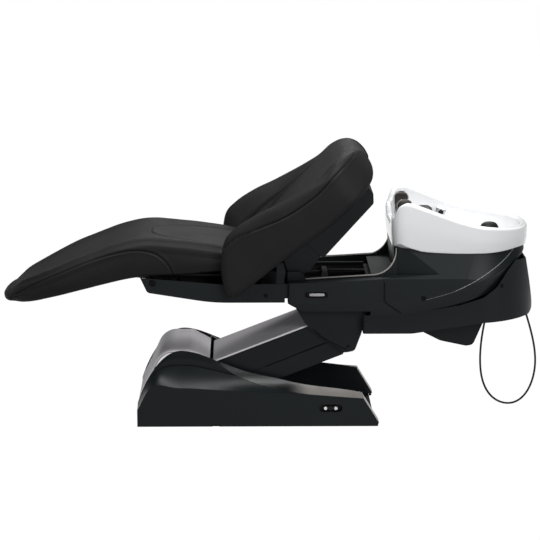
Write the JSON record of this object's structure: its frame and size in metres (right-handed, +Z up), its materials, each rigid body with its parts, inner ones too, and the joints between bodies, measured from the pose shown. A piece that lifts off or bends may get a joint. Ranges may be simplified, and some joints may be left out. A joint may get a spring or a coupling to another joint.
{
  "type": "hair washing bed",
  "caption": "Reclining hair washing bed on a parallelogram lift with a sliding seat, folding leg rest and a white basin behind the winged back rest.",
  "frame": {"origin": "centre of the base plate's four floor anchor holes, at floor level", "axes": "+X from the foot end towards the basin, +Y to the occupant's right, +Z up"},
  "size_m": [2.0786, 0.616, 1.09],
  "materials": {
    "cover_black": "fine-grained matt black moulded covers",
    "hood_grey": "satin metallic grey paint",
    "trim_pale": "satin pale champagne strip",
    "leather_black": "fine-grained matt black synthetic leather",
    "ceramic_white": "glazed white ceramic",
    "frame_steel": "black powder coat",
    "bright_steel": "ground bright steel",
    "chrome_fittings": "polished chrome",
    "motor_black": "matt black",
    "board_wood": "plain plywood",
    "rubber_black": "soft matt black rubber",
    "pad_soft": "soft dark grey-brown moulded urethane",
    "switch_light": "bright glossy pads",
    "pipe_grey": "grey waste pipe plastic"
  },
  "bodies": {
    "base": {"base_plate": "frame_steel", "base_hood": "hood_grey", "side_fairing_left": "cover_black", "side_fairing_right": "cover_black", "ear_trims": "trim_pale", "pivot_cheeks": "frame_steel", "lower_pivot_pins": "bright_steel", "cylinder_post": "frame_steel", "lift_cylinder": "frame_steel", "power_pack": "motor_black", "switch_housing": "motor_black"},
    "switch": {"switch_rocker": "motor_black", "switch_pads": "switch_light"},
    "lift_rod": {"lift_rod": "bright_steel"},
    "lower_arm": {"lower_arm": "frame_steel", "lower_arm_cover": "cover_black"},
    "upper_arm": {"upper_arm": "frame_steel", "upper_arm_sides": "cover_black", "arm_top_cover": "hood_grey"},
    "bed_frame": {"chassis_rails": "frame_steel", "chassis_cross_members": "frame_steel", "slide_rails": "bright_steel", "frame_brackets": "frame_steel", "upper_pivot_pins": "bright_steel", "bracket_covers": "cover_black", "rail_cover_left": "cover_black", "rail_cover_right": "cover_black", "rail_trims": "trim_pale", "tub_shell": "cover_black", "tub_skirt": "cover_black", "drain_lobe": "cover_black", "basin": "ceramic_white", "drain_pipe": "pipe_grey", "hair_trap": "pipe_grey", "neck_rest": "pad_soft", "head_pad": "pad_soft", "head_pad_arm": "bright_steel", "mixer_body": "chrome_fittings", "shower_holder": "motor_black", "slide_actuator": "motor_black", "shower_hose": "rubber_black"},
    "mixer_lever": {"mixer_lever": "chrome_fittings"},
    "hand_shower": {"hand_shower": "motor_black"},
    "seat": {"seat_frame": "frame_steel", "seat_undercover": "cover_black", "seat_cushion": "leather_black", "leg_gearmotor": "motor_black", "recline_actuator": "motor_black", "slide_rod": "bright_steel", "back_straps": "rubber_black"},
    "legrest": {"leg_board": "frame_steel", "leg_cushion": "leather_black"},
    "back": {"back_frame": "frame_steel", "back_shell": "cover_black", "back_sleeve": "cover_black", "back_board": "board_wood", "back_cushion": "leather_black", "wing_left": "leather_black", "wing_right": "leather_black"},
    "recline_rod": {"recline_rod": "bright_steel"}
  },
  "joints": [
    {"name": "lift", "type": "hinge", "parent": "base", "child": "lower_arm", "pos_m": [-0.233, 0, 0.078], "axis": [0, 1, 0], "range_deg": [0, 17]},
    {"name": "link_swing", "type": "hinge", "parent": "base", "child": "upper_arm", "pos_m": [-0.247, 0, 0.158], "axis": [0, 1, 0], "range_deg": [0, 17]},
    {"name": "bed_level", "type": "hinge", "parent": "lower_arm", "child": "bed_frame", "pos_m": [0.34465, 0, 0.30322], "axis": [0, 1, 0], "range_deg": [-17, 0]},
    {"name": "lift_stroke", "type": "slide", "parent": "base", "child": "lift_rod", "axis": [1, 0, 0], "range_m": [0, 0.033]},
    {"name": "seat_slide", "type": "slide", "parent": "bed_frame", "child": "seat", "axis": [-1, 0, 0], "range_m": [0, 0.165]},
    {"name": "back_recline", "type": "hinge", "parent": "seat", "child": "back", "pos_m": [0.15, 0, 0.58], "axis": [0, 1, 0], "range_deg": [0, 38]},
    {"name": "recline_stroke", "type": "slide", "parent": "seat", "child": "recline_rod", "axis": [-1, 0, 0], "range_m": [0, 0.0395]},
    {"name": "leg_fold", "type": "hinge", "parent": "seat", "child": "legrest", "pos_m": [-0.425, 0, 0.576], "axis": [0, -1, 0], "range_deg": [0, 35]},
    {"name": "foot_switch", "type": "hinge", "parent": "base", "child": "switch", "pos_m": [0.278, -0.238, 0.074], "axis": [0, 0, 1], "range_deg": [-5, 5], "stiffness_Nm_per_rad": 0.4},
    {"name": "mixer_turn", "type": "hinge", "parent": "bed_frame", "child": "mixer_lever", "pos_m": [0.722, 0.15, 0.757], "axis": [0, 0, 1], "range_deg": [-70, 15]},
    {"name": "shower_lift", "type": "slide", "parent": "bed_frame", "child": "hand_shower", "axis": [0, 0, 1], "range_m": [0, 0.06]}
  ],
  "couplings": [
    {"joint": "link_swing", "follows": "lift", "ratio": 1},
    {"joint": "bed_level", "follows": "lift", "ratio": -1},
    {"joint": "lift_stroke", "follows": "lift", "m_per_rad": 0.1096},
    {"joint": "back_recline", "follows": "seat_slide", "rad_per_m": 4.0194},
    {"joint": "recline_stroke", "follows": "seat_slide", "ratio": 0.2364}
  ]
}
